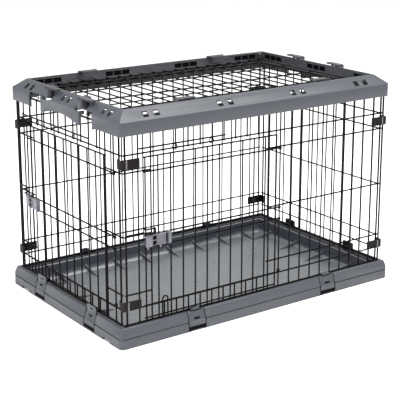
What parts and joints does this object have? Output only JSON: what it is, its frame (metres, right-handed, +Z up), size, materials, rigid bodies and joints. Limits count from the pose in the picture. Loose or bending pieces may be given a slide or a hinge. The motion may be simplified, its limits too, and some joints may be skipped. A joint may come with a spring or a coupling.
{
  "type": "wire dog crate",
  "caption": "Folding wire dog crate with plastic base and lid rims, two hinged wire doors with sliding bolts, snap clips and a lift-out tray.",
  "frame": {"origin": "middle of the footprint, on the floor", "axes": "+Z up, X along the crate, the large door faces -Y and the small door faces -X"},
  "size_m": [0.92, 0.6, 0.6116],
  "materials": {
    "slate_plastic": "fine-grained moulded plastic",
    "tray_plastic": "fine-grained moulded plastic",
    "black_wire": "satin black coated steel wire",
    "bolt_plastic": "semi-gloss moulded plastic",
    "clip_plastic": "satin moulded plastic"
  },
  "bodies": {
    "base": {"base_frame": "slate_plastic", "front_panel": "black_wire", "back_panel": "black_wire", "front_keeper": "black_wire", "front_stop": "black_wire", "front_lower_clips": "clip_plastic", "front_upper_clips": "clip_plastic", "back_lower_clips": "clip_plastic", "back_upper_clips": "clip_plastic"},
    "left_end": {"left_panel": "black_wire", "end_keeper": "black_wire", "end_stop": "black_wire"},
    "right_end": {"right_panel": "black_wire"},
    "large_door": {"front_door": "black_wire"},
    "small_door": {"end_door": "black_wire"},
    "large_door_bolt": {"front_bolt": "bolt_plastic"},
    "small_door_bolt": {"end_bolt": "bolt_plastic"},
    "pan": {"tray": "tray_plastic"},
    "lid": {"lid_rim": "slate_plastic", "lid_grille": "black_wire"},
    "base_latch_1": {"base_clip_1": "slate_plastic"},
    "base_latch_2": {"base_clip_2": "slate_plastic"},
    "base_latch_3": {"base_clip_3": "slate_plastic"},
    "base_latch_4": {"base_clip_4": "slate_plastic"},
    "base_latch_5": {"base_clip_5": "slate_plastic"},
    "base_latch_6": {"base_clip_6": "slate_plastic"},
    "base_latch_7": {"base_clip_7": "slate_plastic"},
    "base_latch_8": {"base_clip_8": "slate_plastic"},
    "rim_latch_1": {"lid_latch_1": "tray_plastic"},
    "rim_latch_2": {"lid_latch_2": "tray_plastic"},
    "rim_latch_3": {"lid_latch_3": "tray_plastic"},
    "rim_latch_4": {"lid_latch_4": "tray_plastic"},
    "rim_latch_5": {"lid_latch_5": "tray_plastic"},
    "rim_latch_6": {"lid_latch_6": "tray_plastic"},
    "rim_latch_7": {"lid_latch_7": "tray_plastic"},
    "rim_latch_8": {"lid_latch_8": "tray_plastic"}
  },
  "joints": [
    {"name": "left_end_fold", "type": "hinge", "parent": "base", "child": "left_end", "pos_m": [-0.437, 0, 0.053], "axis": [0, -1, 0], "range_deg": [-90, 0]},
    {"name": "right_end_fold", "type": "hinge", "parent": "base", "child": "right_end", "pos_m": [0.437, 0, 0.053], "axis": [0, 1, 0], "range_deg": [-87, 0]},
    {"name": "large_door_hinge", "type": "hinge", "parent": "base", "child": "large_door", "pos_m": [0.061, -0.277, 0.27], "axis": [0, 0, 1], "range_deg": [0, 105]},
    {"name": "small_door_hinge", "type": "hinge", "parent": "left_end", "child": "small_door", "pos_m": [-0.437, -0.24, 0.27], "axis": [0, 0, 1], "range_deg": [0, 105]},
    {"name": "large_bolt_slide", "type": "slide", "parent": "large_door", "child": "large_door_bolt", "axis": [1, 0, 0], "range_m": [0, 0.028]},
    {"name": "small_bolt_slide", "type": "slide", "parent": "small_door", "child": "small_door_bolt", "axis": [0, -1, 0], "range_m": [0, 0.028]},
    {"name": "tray_lift", "type": "slide", "parent": "base", "child": "pan", "axis": [0, 0, 1], "range_m": [0, 0.3]},
    {"name": "lid_lift", "type": "slide", "parent": "base", "child": "lid", "axis": [0, 0, 1], "range_m": [0, 0.35]},
    {"name": "base_latch_1_swing", "type": "hinge", "parent": "base", "child": "base_latch_1", "pos_m": [-0.226, -0.293, 0.009], "axis": [1, 0, 0], "range_deg": [0, 70]},
    {"name": "base_latch_2_swing", "type": "hinge", "parent": "base", "child": "base_latch_2", "pos_m": [0.226, -0.293, 0.009], "axis": [1, 0, 0], "range_deg": [0, 70]},
    {"name": "base_latch_3_swing", "type": "hinge", "parent": "base", "child": "base_latch_3", "pos_m": [0.226, 0.293, 0.009], "axis": [-1, 0, 0], "range_deg": [0, 70]},
    {"name": "base_latch_4_swing", "type": "hinge", "parent": "base", "child": "base_latch_4", "pos_m": [-0.226, 0.293, 0.009], "axis": [-1, 0, 0], "range_deg": [0, 70]},
    {"name": "base_latch_5_swing", "type": "hinge", "parent": "base", "child": "base_latch_5", "pos_m": [-0.453, 0.137, 0.009], "axis": [0, -1, 0], "range_deg": [0, 70]},
    {"name": "base_latch_6_swing", "type": "hinge", "parent": "base", "child": "base_latch_6", "pos_m": [-0.453, -0.137, 0.009], "axis": [0, -1, 0], "range_deg": [0, 70]},
    {"name": "base_latch_7_swing", "type": "hinge", "parent": "base", "child": "base_latch_7", "pos_m": [0.453, -0.137, 0.009], "axis": [0, 1, 0], "range_deg": [0, 70]},
    {"name": "base_latch_8_swing", "type": "hinge", "parent": "base", "child": "base_latch_8", "pos_m": [0.453, 0.137, 0.009], "axis": [0, 1, 0], "range_deg": [0, 70]},
    {"name": "rim_latch_1_lift", "type": "hinge", "parent": "lid", "child": "rim_latch_1", "pos_m": [-0.415, -0.082, 0.6086], "axis": [0, 1, 0], "range_deg": [0, 95]},
    {"name": "rim_latch_2_lift", "type": "hinge", "parent": "lid", "child": "rim_latch_2", "pos_m": [-0.415, 0.0945, 0.6086], "axis": [0, 1, 0], "range_deg": [0, 95]},
    {"name": "rim_latch_3_lift", "type": "hinge", "parent": "lid", "child": "rim_latch_3", "pos_m": [0.415, 0.082, 0.6086], "axis": [0, -1, 0], "range_deg": [0, 95]},
    {"name": "rim_latch_4_lift", "type": "hinge", "parent": "lid", "child": "rim_latch_4", "pos_m": [0.415, -0.0945, 0.6086], "axis": [0, -1, 0], "range_deg": [0, 95]},
    {"name": "rim_latch_5_lift", "type": "hinge", "parent": "lid", "child": "rim_latch_5", "pos_m": [-0.226, -0.2475, 0.6086], "axis": [1, 0, 0], "range_deg": [0, 95]},
    {"name": "rim_latch_6_lift", "type": "hinge", "parent": "lid", "child": "rim_latch_6", "pos_m": [0.226, -0.2475, 0.6086], "axis": [1, 0, 0], "range_deg": [0, 95]},
    {"name": "rim_latch_7_lift", "type": "hinge", "parent": "lid", "child": "rim_latch_7", "pos_m": [0.226, 0.2475, 0.6086], "axis": [-1, 0, 0], "range_deg": [0, 95]},
    {"name": "rim_latch_8_lift", "type": "hinge", "parent": "lid", "child": "rim_latch_8", "pos_m": [-0.226, 0.2475, 0.6086], "axis": [-1, 0, 0], "range_deg": [0, 95]}
  ]
}
